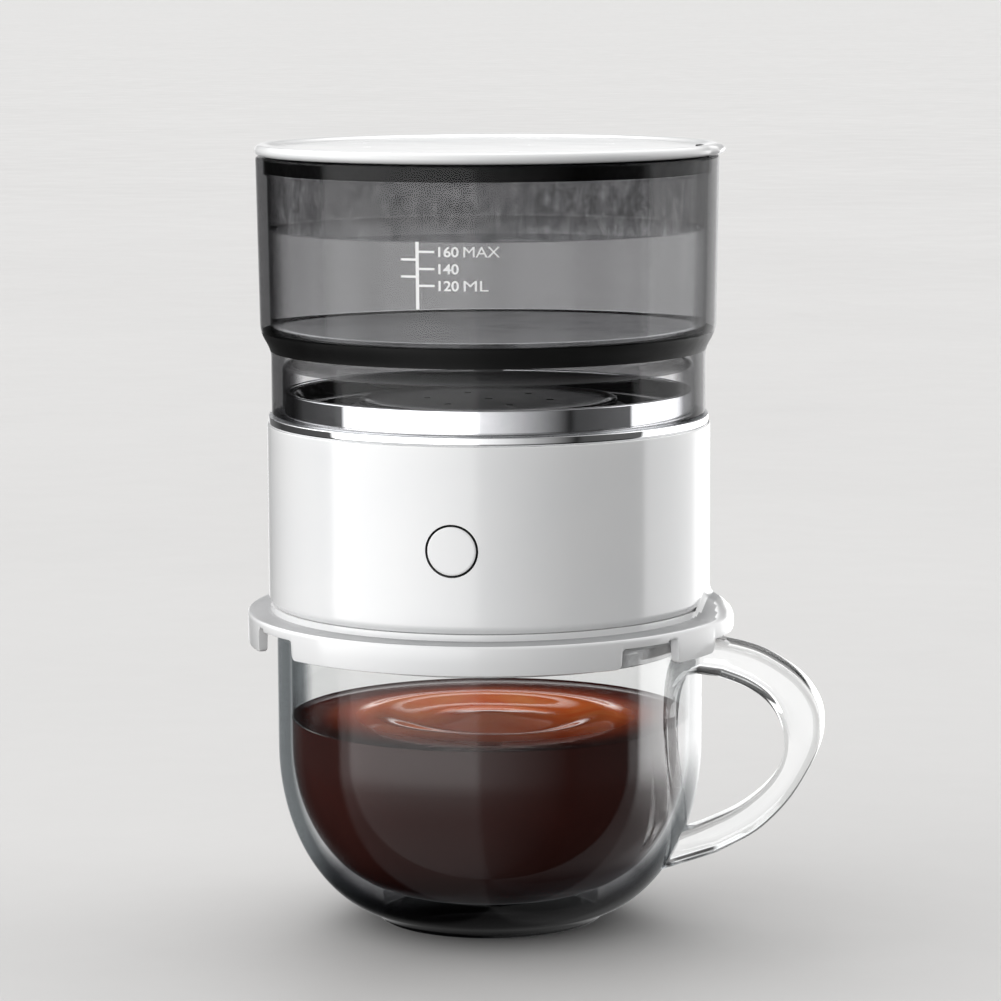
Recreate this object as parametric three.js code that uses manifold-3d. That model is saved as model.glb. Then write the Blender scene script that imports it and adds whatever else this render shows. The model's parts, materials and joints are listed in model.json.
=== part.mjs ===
// Portable drip coffee maker standing on its glass mug: brew head, dripper unit, water tank and lid.
// Millimetres, +Z up. The origin is the centre of the mug's foot. The front, with the button, is -Y,
// and the mug's handle and the lid's pull tab are on +X.
import * as THREE from 'three';
import { mergeVertices } from 'three/addons/utils/BufferGeometryUtils.js';
import Module from 'manifold-3d';

const wasm = await Module();
wasm.setup();

// ---------------------------------------------------------------- driving dimensions

const FACETS = 36; // sides of the large rings
const CORE_FACETS = 24; // sides of the rings inside the head
const SMALL_FACETS = 12; // sides of screws, holes and shafts
const GAP = 0.3; // clearance between pieces that rest on or sit in each other
const DEG = Math.PI / 180;

// Glass mug
const CUP_R = 44.6;
const CUP_WALL = 2.9;
const CUP_RIM_Z = 62.4;
const CUP_FOOT_R = 24.2;
const CUP_BOWL_Z = 37; // height where the rounded bowl turns into the straight wall
const CUP_BASE = 6.5; // thickness of the glass under the coffee
const HANDLE_DEPTH = 10;

// Brew head
const LEDGE_Z = 65.9; // top of the flange's ledge
const PLATE_Z = 63.8; // underside of the flange's plate
const FLANGE_R = 50.7;
const FLANGE_SKIRT = 1.9; // thickness of the skirt that hangs round the mug's rim
const SKIRT_Z = 59.8; // lower edge of the deep front and rear skirts
const HOOK_Z = 59.3; // lower edge of the four hooks
const SKIRT_HALF = 41.9; // half angle of a deep skirt, from straight ahead
const HOOK_FROM = 59.2;
const HOOK_TO = 76.5;
const SLOT_FROM = 56; // a slot beside each hook cuts a little into the plate
const SLOT_CUT = 0.6;
const SHOULDER_HALF = 9; // half angle of the raised shoulder beside the mug's handle
const SHOULDER_R = 51.3;
const SHOULDER_TOP = 69.6;
const SHELL_R = 46.2;
const SHELL_WALL = 2;
const SHELL_TOP = 105;
const RIM_TIER_Z = 106.8; // step of the two-tier steel rim, where the tank stands
const RIM_TOP_Z = 111.8;
const RIM_R = 42.5;
const RIM_INNER_R = 41.5;
const WELL_R = 28.8; // inside of the chassis well that takes the filter basket
const SHELF_Z = 98.8; // chassis shelf under the gear
const CHASSIS_R = 43.7;
const CHASSIS_DECK_Z = 97.2; // underside of the chassis deck, where the motor hangs

// Gear train
const MODULE = 1.3;
const GEAR_TEETH = 49;
const PINION_TEETH = 7;
const GEAR_PITCH_R = (MODULE * GEAR_TEETH) / 2;
const PINION_PITCH_R = (MODULE * PINION_TEETH) / 2;
const MOTOR_ARM = GEAR_PITCH_R + PINION_PITCH_R; // motor's distance from the centre line
const MOTOR_AT = 20; // degrees from +X
const MOTOR_R = 5.8;
const MOTOR_TOP = 95.2;
const MOTOR_EAR = 8.5; // screws' distance to each side of the motor shaft
const GEAR_Z = 100.3;
const GEAR_T = 3.2;

// Filter basket and dish
const BASKET_R = 26.9;
const BASKET_TOP = 108.7;
const DISH_HOLE_R = 28.2;
const DISH_Z = 105.3;
const SPRAY_Z = 109; // underside of the spray plate

// Electronics
const POST_ARM = 37.2; // screw posts' distance from the centre line
const POSTS_AT = [50, 130, 225, 315];
const PILOT_R = 1.3; // screw holes in the posts and the flange
const HEAD_BORE_R = 2.7; // recess for a base screw's head
const CELL_R = 6.3;
const CELL_ARM = 36.9;
const CELLS_AT = [165, 195];
const BUTTON_X = 0.9; // the button stands a little to the handle's side of straight ahead
const BUTTON_Z = 84.2;
const BUTTON_R = 5;
const BUTTON_HOLE_R = 5.35;
const PORT_Z = 75;

// Water tank and lid
const TANK_SKIRT_R = 45.2;
const TANK_FOOT_Z = RIM_TIER_Z + GAP;
const TANK_TOP = 160.4;
const TANK_R = 48;
const LID_R = 48.2;
const LID_TOP = 162.9;
const TAB_REACH = 49.9; // tip of the lid's pull tab, from the centre line
const TAB_HALF = 7;
const VENT_ARM = 44.3;
const VENT_R = 0.9;

// ---------------------------------------------------------------- materials

function finish(color, roughness, metalness = 0, extra = {}) {
  return new THREE.MeshStandardMaterial({ color, roughness, metalness, ...extra });
}

const GLASS = finish(0xe8eef0, 0.05, 0, { transparent: true, opacity: 0.35 });
const SMOKED = finish(0x70757a, 0.08, 0, { transparent: true, opacity: 0.55 });
const WHITE = finish(0xf2f2f0, 0.22);
const BLACK = finish(0x151515, 0.3);
const RUBBER = finish(0x0c0c0c, 0.7);
const SILICONE = finish(0xe6e6e4, 0.6);
const STEEL = finish(0xc9ccd0, 0.15, 1);
const MESH_STEEL = finish(0xb4b7ba, 0.35, 1);
const ACETAL = finish(0xdedad0, 0.45);
const BOARD = finish(0x1f6b3a, 0.5);
const CELL_WRAP = finish(0x2f6fb3, 0.4);

// ---------------------------------------------------------------- solids and booleans

// One closed solid from a geometry, whichever way its faces were wound.
function solid(geometry) {
  const bare = geometry.clone();
  bare.deleteAttribute('normal');
  bare.deleteAttribute('uv');
  const merged = mergeVertices(bare.index ? bare.toNonIndexed() : bare, 1e-4);
  const at = merged.attributes.position;
  const corners = [];
  let volume = 0;
  for (let i = 0; i < merged.index.count; i += 3) {
    const [a, b, c] = [merged.index.getX(i), merged.index.getX(i + 1), merged.index.getX(i + 2)];
    if (a !== b && b !== c && c !== a) {
      const [p, q, r] = [a, b, c].map((k) => new THREE.Vector3().fromBufferAttribute(at, k));
      corners.push(a, b, c);
      volume += p.dot(q.cross(r));
    }
  }
  if (volume < 0) corners.reverse();
  const vertProperties = new Float32Array(at.array);
  const triVerts = new Uint32Array(corners);
  return new wasm.Manifold(new wasm.Mesh({ numProp: 3, vertProperties, triVerts }));
}

function meshOf(name, shape, material) {
  const { numProp, vertProperties, triVerts } = shape.getMesh();
  const points = new Float32Array((vertProperties.length / numProp) * 3);
  for (let i = 0; i < points.length / 3; i += 1) {
    points.set(vertProperties.subarray(i * numProp, i * numProp + 3), i * 3);
  }
  const geometry = new THREE.BufferGeometry();
  geometry.setAttribute('position', new THREE.BufferAttribute(points, 3));
  geometry.setIndex(new THREE.BufferAttribute(new Uint32Array(triVerts), 1));
  geometry.computeVertexNormals();
  const mesh = new THREE.Mesh(geometry, material);
  mesh.name = name;
  return mesh;
}

// A ring or disc turned about Z. A profile is [radius, height] pairs; it closes on itself or on the axis.
function turned(profile, facets = FACETS) {
  const points = profile.map(([r, z]) => new THREE.Vector2(r, z));
  const onAxis = profile[0][0] === 0 && profile[profile.length - 1][0] === 0;
  if (!onAxis) points.push(points[0].clone());
  return solid(new THREE.LatheGeometry(points, facets).rotateX(Math.PI / 2));
}

function ring(inner, outer, z0, z1, facets = FACETS) {
  return turned([[inner, z0], [outer, z0], [outer, z1], [inner, z1]], facets);
}

function disc(radius, z0, z1, facets = SMALL_FACETS) {
  return turned([[0, z0], [radius, z0], [radius, z1], [0, z1]], facets);
}

function block(x0, x1, y0, y1, z0, z1) {
  const box = new THREE.BoxGeometry(x1 - x0, y1 - y0, z1 - z0);
  return solid(box.translate((x0 + x1) / 2, (y0 + y1) / 2, (z0 + z1) / 2));
}

// A flat shape in XY raised from z0 to z1.
function raised(shape, z0, z1, curveSegments = 6) {
  const geometry = new THREE.ExtrudeGeometry(shape, { depth: z1 - z0, bevelEnabled: false, curveSegments });
  return solid(geometry.translate(0, 0, z0));
}

// A pie slice from angle a0 to a1, in degrees from +X, big enough to cut any ring here.
function slice(a0, a1, z0, z1) {
  const shape = new THREE.Shape();
  const reach = 90;
  const steps = Math.ceil((a1 - a0) / 20);
  shape.moveTo(0, 0);
  for (let i = 0; i <= steps; i += 1) {
    const a = (a0 + ((a1 - a0) * i) / steps) * DEG;
    shape.lineTo(reach * Math.cos(a), reach * Math.sin(a));
  }
  return raised(shape, z0, z1);
}

// A solid made on the centre line, moved out along a direction in degrees from +X.
function outTo(shape, arm, degrees) {
  return shape.translate([arm * Math.cos(degrees * DEG), arm * Math.sin(degrees * DEG), 0]);
}

// A turned solid laid along Y: its profile heights become distances in front of or behind the centre.
function alongY(shape, x, z) {
  return shape.rotate([90, 0, 0]).translate([x, 0, z]);
}

// A disc with one hole in its middle and a circle of holes round it.
function perforated(radius, z0, z1, holeR, holeArm, holes) {
  const outline = new THREE.Path().absarc(0, 0, radius, 0, 2 * Math.PI);
  const shape = new THREE.Shape(outline.getPoints(FACETS / 2).slice(1));
  for (let i = 0; i <= holes; i += 1) {
    const a = (2 * Math.PI * i) / holes;
    const arm = i < holes ? holeArm : 0;
    const hole = new THREE.Path().absarc(arm * Math.cos(a), arm * Math.sin(a), holeR, 0, 2 * Math.PI);
    shape.holes.push(new THREE.Path(hole.getPoints(4).slice(1)));
  }
  return raised(shape, z0, z1);
}

// ---------------------------------------------------------------- glass mug

// Outline of the mug's outside, from its foot to its rim, grown by a clearance.
function cupOutside(grow = 0) {
  const profile = [[0, -grow], [CUP_FOOT_R - 1.2 + grow, -grow], [CUP_FOOT_R + grow, 0.9]];
  for (let t = 18; t <= 90; t += 12) {
    const r = 20 + (CUP_R - 20 + grow) * Math.sin(t * DEG);
    profile.push([r, CUP_BOWL_Z - (CUP_BOWL_Z - 1 + grow) * Math.cos(t * DEG)]);
  }
  return profile;
}

function glassCup() {
  const inner = CUP_R - CUP_WALL;
  const profile = cupOutside();
  profile.push([CUP_R, CUP_RIM_Z - 0.8], [CUP_R - 0.8, CUP_RIM_Z], [inner + 0.8, CUP_RIM_Z]);
  profile.push([inner, CUP_RIM_Z - 0.8]);
  for (let t = 90; t >= 15; t -= 15) {
    const r = 18 + (inner - 18) * Math.sin(t * DEG);
    profile.push([r, CUP_BOWL_Z - (CUP_BOWL_Z - CUP_BASE) * Math.cos(t * DEG)]);
  }
  profile.push([0, CUP_BASE]);
  return turned(profile);
}

function cupHandle() {
  const shape = new THREE.Shape();
  shape.moveTo(38, 61);
  shape.lineTo(46, 60.6);
  shape.splineThru([[53, 59.4], [59, 57.4], [65.5, 53.2], [69.3, 48.2], [70.4, 43], [69.2, 36.8],
    [64.2, 27.8], [57, 20.3], [48.5, 15.4]].map(([x, z]) => new THREE.Vector2(x, z)));
  shape.lineTo(38, 13);
  shape.lineTo(38, 19.5);
  shape.lineTo(44.6, 20.8);
  shape.splineThru([[52.4, 24.7], [58.6, 29.8], [62, 35.2], [62.6, 41.2], [59.8, 47],
    [55, 50.6], [49, 52.8]].map(([x, z]) => new THREE.Vector2(x, z)));
  shape.lineTo(38, 54);
  const bevel = 1.2;
  const strap = new THREE.ExtrudeGeometry(shape, {
    depth: HANDLE_DEPTH - 2 * bevel,
    curveSegments: 2,
    bevelThickness: bevel,
    bevelSize: bevel,
    bevelOffset: -bevel,
    bevelSegments: 1,
  });
  strap.translate(0, 0, bevel - HANDLE_DEPTH / 2).rotateX(Math.PI / 2);
  const mug = cupOutside(GAP);
  mug.push([CUP_R + GAP, CUP_RIM_Z + 5], [0, CUP_RIM_Z + 5]);
  return solid(strap).subtract(turned(mug));
}

// ---------------------------------------------------------------- brew head: outside

// The slices of a symmetric pair or four: from front (270 degrees) and rear (90), left and right.
function mirrored(from, to, z0, z1) {
  const slices = [];
  for (const ahead of [270, 90]) {
    slices.push(slice(ahead + from, ahead + to, z0, z1), slice(ahead - to, ahead - from, z0, z1));
  }
  return wasm.Manifold.union(slices);
}

function baseFlange() {
  const skirtIn = FLANGE_R - FLANGE_SKIRT;
  const plate = turned([
    [30.7, PLATE_Z], [39.5, PLATE_Z], [39.8, 57.8], [40.9, 57.8], [41.1, PLATE_Z], [FLANGE_R, PLATE_Z],
    [FLANGE_R, LEDGE_Z - 0.6], [FLANGE_R - 0.7, LEDGE_Z], [45.9, LEDGE_Z], [45.9, 67.1], [34, 67.1],
    [34, 66.2], [30.7, 66.2],
  ]);
  const deep = ring(skirtIn, FLANGE_R, SKIRT_Z, PLATE_Z + 0.1);
  const hook = ring(skirtIn, FLANGE_R, HOOK_Z, PLATE_Z + 0.1);
  const slot = ring(skirtIn, FLANGE_R + 1, PLATE_Z - 1, PLATE_Z + SLOT_CUT);
  const shoulder = turned([
    [46.6, LEDGE_Z - 0.5], [46.6, SHOULDER_TOP], [47.6, SHOULDER_TOP - 0.4], [49.4, 67.7], [50.7, 65.9],
    [SHOULDER_R, 64.2], [SHOULDER_R, PLATE_Z], [48.5, PLATE_Z],
  ]);
  let flange = wasm.Manifold.union([
    plate,
    deep.intersect(mirrored(-1, SKIRT_HALF, 50, 70)),
    hook.intersect(mirrored(HOOK_FROM, HOOK_TO, 50, 70)),
    shoulder.intersect(slice(-SHOULDER_HALF, SHOULDER_HALF, 50, 80)),
  ]).subtract(slot.intersect(mirrored(SLOT_FROM, HOOK_FROM, 50, 70)));
  for (const at of POSTS_AT) {
    flange = flange.subtract(outTo(disc(PILOT_R, PLATE_Z - 1, 68), POST_ARM, at));
    flange = flange.subtract(outTo(disc(HEAD_BORE_R, PLATE_Z - 1, 65.3), POST_ARM, at));
  }
  return flange;
}

function cupGasket() {
  return ring(41.4, 45, CUP_RIM_Z + GAP, PLATE_Z - GAP);
}

function bodyShell() {
  const inner = SHELL_R - SHELL_WALL;
  const bottom = 67.4;
  const sleeve = turned([
    [inner, bottom], [SHELL_R - 0.9, bottom], [SHELL_R, bottom + 1.1], [SHELL_R, SHELL_TOP - 0.4],
    [SHELL_R - 0.4, SHELL_TOP], [inner, SHELL_TOP],
  ]);
  const buttonHole = alongY(disc(BUTTON_HOLE_R, 40, 50, 20), BUTTON_X, BUTTON_Z);
  const portSlot = block(-4.9, 4.9, 40, 50, PORT_Z - 2, PORT_Z + 2);
  return sleeve.subtract(buttonHole).subtract(portSlot);
}

function chromeRing() {
  const low = SHELL_TOP + GAP;
  return turned([
    [RIM_INNER_R, low], [45.3, low], [45.7, low + 0.4], [45.7, RIM_TIER_Z], [RIM_R, RIM_TIER_Z],
    [RIM_R, RIM_TOP_Z], [RIM_INNER_R, RIM_TOP_Z],
  ]);
}

// ---------------------------------------------------------------- brew head: inside

function chassis() {
  const body = turned([
    [WELL_R, 68.3], [30.2, 68.3], [30.2, CHASSIS_DECK_Z], [CHASSIS_R, CHASSIS_DECK_Z], [CHASSIS_R, SHELL_TOP],
    [39.8, SHELL_TOP], [39.8, SHELF_Z], [WELL_R, SHELF_Z],
  ], CORE_FACETS);
  const posts = POSTS_AT.map((at) => outTo(disc(2.4, 67.4, 98), POST_ARM, at));
  let all = wasm.Manifold.union([body, ...posts]);
  for (const at of POSTS_AT) {
    all = all.subtract(outTo(disc(PILOT_R, 60, 75), POST_ARM, at));
  }
  all = all.subtract(outTo(disc(6, SHELF_Z, 110, 16), MOTOR_ARM, MOTOR_AT));
  all = all.subtract(outTo(disc(1.5, 90, 110), MOTOR_ARM, MOTOR_AT));
  for (const side of [-1, 1]) {
    all = all.subtract(motorPlace(disc(1.2, 90, 99).translate([0, side * MOTOR_EAR, 0])));
  }
  return all;
}

function dripFunnel() {
  return turned([
    [30.3, 66.5], [33.7, 66.5], [33.7, 68], [28.6, 68], [27.8, 66], [1.6, 58.2], [1.6, 50.6],
    [2.6, 50.6], [2.9, 56.8], [28.6, 64.4], [30.3, 65.4],
  ], CORE_FACETS);
}

// Turns and moves a solid made on the centre line, with its ears along Y, to the motor's place.
function motorPlace(shape) {
  return outTo(shape.rotate([0, 0, MOTOR_AT]), MOTOR_ARM, MOTOR_AT);
}

function motor() {
  return motorPlace(turned([
    [0, 71], [MOTOR_R - 0.4, 71], [MOTOR_R, 71.4], [MOTOR_R, MOTOR_TOP], [1.3, MOTOR_TOP], [1.3, 92],
    [0, 92],
  ], 20));
}

function motorMount() {
  let plate = block(-4.2, 4.2, -10.6, 10.6, MOTOR_TOP + GAP, 96.9);
  plate = plate.subtract(disc(3.2, 90, 100));
  for (const side of [-1, 1]) {
    plate = plate.subtract(disc(1.2, 90, 100).translate([0, side * MOTOR_EAR, 0]));
  }
  return motorPlace(plate);
}

function motorScrew(side) {
  const screw = turned([[0, 94.1], [1.8, 94.1], [1.8, 95.2], [0.9, 95.2], [0.9, 98.4], [0, 98.4]], 10);
  return motorPlace(screw.translate([0, side * MOTOR_EAR, 0]));
}

function motorShaft() {
  return motorPlace(disc(1, 92.3, GEAR_Z + GEAR_T + 0.2, 10));
}

function slipRing() {
  return ring(29.4, 31, SHELF_Z + GAP, GEAR_Z - GAP, CORE_FACETS);
}

function batteryCell(at) {
  return outTo(turned([
    [0, 69.6], [CELL_R - 0.5, 69.6], [CELL_R, 70.1], [CELL_R, 95], [CELL_R - 0.5, 95.5],
    [2.2, 95.5], [2.2, 96.4], [0, 96.4],
  ], 16), CELL_ARM, at);
}

function batteryCradle() {
  const tray = ring(34.1, 43.2, 67.4, 69.3).intersect(slice(150, 210, 60, 80));
  const web = block(-43, -31.4, -2.2, 2.2, 69, 91);
  return tray.add(web);
}

function circuitBoard() {
  return block(-11, 11, -38.1, -36.7, 70.5, 96.5);
}

function tactSwitch() {
  const bore = alongY(disc(1.9, 38.9, 45), BUTTON_X, BUTTON_Z);
  const half = 3.1;
  const can = block(BUTTON_X - half, BUTTON_X + half, -40.5, -38.4, BUTTON_Z - half, BUTTON_Z + half);
  return can.subtract(bore);
}

function switchPlunger() {
  return alongY(disc(1.5, 40, 41.8), BUTTON_X, BUTTON_Z);
}

// The cap's face follows the round of the sleeve.
function powerButton() {
  const cap = turned([
    [0, 42.1], [6.2, 42.1], [6.2, 43.1], [BUTTON_R, 43.1], [BUTTON_R, 48], [0, 48],
  ], 20);
  return alongY(cap, BUTTON_X, BUTTON_Z).intersect(disc(SHELL_R - 0.05, 70, 100, FACETS * 2));
}

function buttonSeal() {
  return alongY(ring(6.6, 8.4, 41.9, 42.9, 20), BUTTON_X, BUTTON_Z);
}

function chargeSocket() {
  const can = block(-4.45, 4.45, 37.5, 45.2, PORT_Z - 1.6, PORT_Z + 1.6);
  return can.subtract(block(-3.9, 3.9, 39, 46, PORT_Z - 1.1, PORT_Z + 1.1));
}

function socketBoard() {
  return block(-7, 7, 35.5, 43, PORT_Z - 3.1, PORT_Z - 1.9);
}

function portPlug() {
  const cover = block(-6.2, 7.5, 46.5, 47.7, PORT_Z - 3.4, PORT_Z + 3.4);
  return cover.add(block(-3.4, 3.4, 44.2, 46.6, PORT_Z - 0.7, PORT_Z + 0.7));
}

function baseScrew(at) {
  const screw = turned([[0, 63.9], [2.2, 63.9], [2.2, 65], [1, 65], [1, 74], [0, 74]], 10);
  return outTo(screw, POST_ARM, at);
}

// ---------------------------------------------------------------- dripper unit

// A spur gear's outline: straight-sided teeth, one of them centred on the angle first, in degrees.
function gearShape(teeth, pitchR, tipR, rootR, first) {
  const shape = new THREE.Shape();
  const pitch = (2 * Math.PI) / teeth;
  const halfRoot = pitch * 0.27;
  const halfTip = pitch * 0.1 * (pitchR / tipR);
  for (let i = 0; i < teeth; i += 1) {
    const middle = first * DEG + i * pitch;
    for (const [r, a] of [[rootR, -halfRoot], [tipR, -halfTip], [tipR, halfTip], [rootR, halfRoot]]) {
      const at = [r * Math.cos(middle + a), r * Math.sin(middle + a)];
      if (shape.curves.length === 0 && i === 0 && a === -halfRoot) {
        shape.moveTo(...at);
      } else {
        shape.lineTo(...at);
      }
    }
  }
  return shape;
}

function driveGear() {
  const tip = GEAR_PITCH_R + 0.75;
  const shape = gearShape(GEAR_TEETH, GEAR_PITCH_R, tip, GEAR_PITCH_R - 1.25, MOTOR_AT);
  return raised(shape, GEAR_Z, GEAR_Z + GEAR_T).subtract(disc(BASKET_R + GAP, 90, 110, FACETS));
}

function drivePinion() {
  const facing = MOTOR_AT + 180 + 180 / PINION_TEETH; // a tooth gap faces the gear
  const shape = gearShape(PINION_TEETH, PINION_PITCH_R, PINION_PITCH_R + 0.95, PINION_PITCH_R - 1.05, facing);
  const teeth = raised(shape, GEAR_Z, GEAR_Z + GEAR_T).subtract(disc(1.3, 90, 110));
  return outTo(teeth, MOTOR_ARM, MOTOR_AT);
}

function dripperDish() {
  return turned([
    [DISH_HOLE_R, DISH_Z], [41.1, DISH_Z], [41.1, 111.4], [40.3, 111.4], [39, 108.2], [34, 106.7],
    [DISH_HOLE_R, 106.6],
  ]);
}

function filterBasket() {
  return turned([
    [9.5, 72], [11, 72], [13, 73], [24.5, 84], [BASKET_R, 99], [BASKET_R, 106.9], [29.6, 106.9],
    [29.6, 107.9], [BASKET_R, 107.9], [BASKET_R, BASKET_TOP], [25.4, BASKET_TOP], [25.4, 99],
    [23.2, 85], [12.2, 74.4], [9.5, 73.2],
  ], CORE_FACETS);
}

function filterMesh() {
  return turned([
    [0, 73.6], [11.6, 74.7], [22.7, 85.2], [24.9, 99], [25, 108.2], [24.4, 108.2], [24.3, 99],
    [22.1, 85.4], [11.3, 75.4], [0, 74.3],
  ], CORE_FACETS);
}

function sprayPlate() {
  return perforated(27, SPRAY_Z, SPRAY_Z + 1, 1.1, 13, 6);
}

// ---------------------------------------------------------------- water tank and lid

function tankBody() {
  return turned([
    [42.9, TANK_FOOT_Z], [TANK_SKIRT_R, TANK_FOOT_Z], [TANK_SKIRT_R, 120.4], [47.4, 124.3],
    [TANK_R, TANK_TOP], [46.5, TANK_TOP], [46.4, 156.8], [45.7, 156.6], [45.3, 124.9], [43.4, 120.4],
    [40.2, 120.4], [40.2, 118.9], [42.9, 117.4],
  ]);
}

function tankFloor() {
  return turned([
    [3.6, 120.7], [41, 120.7], [41, 124.1], [38.5, 124.1], [36.5, 122.8], [3.6, 122.3],
  ]);
}

function floorSeal() {
  return turned([[41.3, 120.7], [43.1, 120.7], [44.8, 124.5], [41.3, 124.5]]);
}

function dripOutlet() {
  return turned([
    [1, 113.5], [2.4, 113.5], [3.3, 116], [3.3, 122.6], [6, 122.6], [6, 123.7], [1, 123.7],
  ], 20);
}

function outletStrainer() {
  return perforated(7, 124, 124.7, 0.8, 4.2, 6);
}

function lid() {
  const plate = turned([
    [0, 161], [41, 161], [41, 157.6], [42.8, 157.6], [42.8, TANK_TOP + GAP], [47.5, TANK_TOP + GAP],
    [LID_R, 161.3], [LID_R, 162.2], [47.5, LID_TOP], [46, LID_TOP], [43.6, 162.2], [0, 162.2],
  ]);
  const tab = new THREE.Shape();
  tab.moveTo(44, -TAB_HALF);
  tab.lineTo(47.6, -TAB_HALF);
  tab.lineTo(TAB_REACH - 0.8, -5);
  tab.quadraticCurveTo(TAB_REACH, -4.4, TAB_REACH, -3);
  tab.lineTo(TAB_REACH, 3);
  tab.quadraticCurveTo(TAB_REACH, 4.4, TAB_REACH - 0.8, 5);
  tab.lineTo(47.6, TAB_HALF);
  tab.lineTo(44, TAB_HALF);
  const withTab = plate.add(raised(tab, TANK_TOP + GAP, 162, 2));
  return withTab.subtract(disc(VENT_R, 150, 170, 10).translate([VENT_ARM, 0, 0]));
}

// The slot on +X lets air in through the lid's vent.
function lidSeal() {
  return ring(43.1, 46.1, 157.1, TANK_TOP).subtract(block(40, 50, -1.5, 1.5, 150, 170));
}

// ---------------------------------------------------------------- assembly

const maker = new THREE.Group();

function place(name, shape, material) {
  maker.add(meshOf(name, shape, material));
}

place('glass_cup', glassCup(), GLASS);
place('cup_handle', cupHandle(), GLASS);

place('base_flange', baseFlange(), WHITE);
place('cup_gasket', cupGasket(), SILICONE);
place('body_shell', bodyShell(), WHITE);
place('chrome_ring', chromeRing(), STEEL);
place('chassis', chassis(), BLACK);
place('drip_funnel', dripFunnel(), BLACK);
place('motor', motor(), STEEL);
place('motor_mount', motorMount(), STEEL);
place('slip_ring', slipRing(), ACETAL);
place('battery_cradle', batteryCradle(), BLACK);
place('circuit_board', circuitBoard(), BOARD);
place('tact_switch', tactSwitch(), BLACK);
place('button_seal', buttonSeal(), RUBBER);
place('charge_socket', chargeSocket(), STEEL);
place('socket_board', socketBoard(), BOARD);
POSTS_AT.forEach((at, i) => place(`base_screw_${i + 1}`, baseScrew(at), STEEL));
[-1, 1].forEach((side, i) => place(`motor_screw_${i + 1}`, motorScrew(side), STEEL));
CELLS_AT.forEach((at, i) => place(`battery_cell_${i + 1}`, batteryCell(at), CELL_WRAP));

place('power_button', powerButton(), WHITE);
place('switch_plunger', switchPlunger(), BLACK);
place('port_plug', portPlug(), RUBBER);
place('motor_shaft', motorShaft(), STEEL);
place('drive_pinion', drivePinion(), ACETAL);

place('dripper_dish', dripperDish(), BLACK);
place('filter_basket', filterBasket(), BLACK);
place('filter_mesh', filterMesh(), MESH_STEEL);
place('drive_gear', driveGear(), ACETAL);
place('spray_plate', sprayPlate(), BLACK);

place('tank', tankBody(), SMOKED);
place('tank_floor', tankFloor(), SMOKED);
place('floor_seal', floorSeal(), RUBBER);
place('drip_outlet', dripOutlet(), RUBBER);
place('outlet_strainer', outletStrainer(), MESH_STEEL);
place('lid', lid(), WHITE);
place('lid_seal', lidSeal(), RUBBER);

export default maker;
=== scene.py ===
"""Looks for the portable drip coffee maker: detailed pieces, procedural materials, studio light and camera."""
import json
import math

import bmesh
import bpy
from mathutils import Euler, Matrix, Vector

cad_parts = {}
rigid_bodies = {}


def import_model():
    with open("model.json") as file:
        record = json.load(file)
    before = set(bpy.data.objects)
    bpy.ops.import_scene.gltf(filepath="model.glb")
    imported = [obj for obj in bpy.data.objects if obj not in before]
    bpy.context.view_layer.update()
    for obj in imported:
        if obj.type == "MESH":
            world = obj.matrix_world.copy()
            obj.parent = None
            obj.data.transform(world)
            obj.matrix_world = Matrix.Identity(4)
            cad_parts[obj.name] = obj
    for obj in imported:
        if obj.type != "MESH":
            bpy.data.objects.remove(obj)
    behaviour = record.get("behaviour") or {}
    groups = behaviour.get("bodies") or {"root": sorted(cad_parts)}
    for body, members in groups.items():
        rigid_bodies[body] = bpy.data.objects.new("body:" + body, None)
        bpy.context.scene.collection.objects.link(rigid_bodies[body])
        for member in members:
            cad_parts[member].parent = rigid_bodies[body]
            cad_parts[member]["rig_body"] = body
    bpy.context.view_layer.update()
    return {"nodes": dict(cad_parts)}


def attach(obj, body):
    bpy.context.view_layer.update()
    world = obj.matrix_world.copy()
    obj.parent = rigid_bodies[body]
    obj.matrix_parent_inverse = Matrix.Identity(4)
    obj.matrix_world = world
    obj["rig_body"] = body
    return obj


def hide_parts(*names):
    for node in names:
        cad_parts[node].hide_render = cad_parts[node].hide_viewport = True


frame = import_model()

MM = 0.001
FINE = 208  # steps round the large turned pieces
FRONT = 270.0  # the button's side, in degrees from +X


# ---------------------------------------------------------------- mesh building


def finished(bm, name, sharp=38.0):
    """A shaded object from a bmesh in millimetres, with its edges above `sharp` degrees left crisp."""
    bmesh.ops.remove_doubles(bm, verts=bm.verts, dist=1e-4)
    bmesh.ops.recalc_face_normals(bm, faces=bm.faces)
    bmesh.ops.scale(bm, vec=(MM, MM, MM), verts=bm.verts)
    mesh = bpy.data.meshes.new(name)
    bm.to_mesh(mesh)
    bm.free()
    return shaded(mesh, name, sharp)


def shaded(mesh, name, sharp=38.0):
    """An object of the mesh, smooth but for its edges above `sharp` degrees."""
    for face in mesh.polygons:
        face.use_smooth = True
    mesh.set_sharp_from_angle(angle=math.radians(sharp))
    ob = bpy.data.objects.new(name, mesh)
    bpy.context.scene.collection.objects.link(ob)
    return ob


def rounded(points, steps=4, closed=True):
    """A profile whose corners are rounded: each point is (r, z) or (r, z, how far the rounding reaches)."""
    out = []
    n = len(points)
    for i, p in enumerate(points):
        here = Vector(p[:2])
        reach = p[2] if len(p) > 2 else 0.0
        if reach == 0 or (not closed and i in (0, n - 1)):
            out.append(tuple(here))
            continue
        back = Vector(points[i - 1][:2]) - here
        on = Vector(points[(i + 1) % n][:2]) - here
        a = here + back.normalized() * min(reach, 0.48 * back.length)
        b = here + on.normalized() * min(reach, 0.48 * on.length)
        for k in range(steps + 1):
            t = k / steps
            out.append(tuple(a * (1 - t) ** 2 + here * 2 * t * (1 - t) + b * t * t))
    return out


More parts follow.
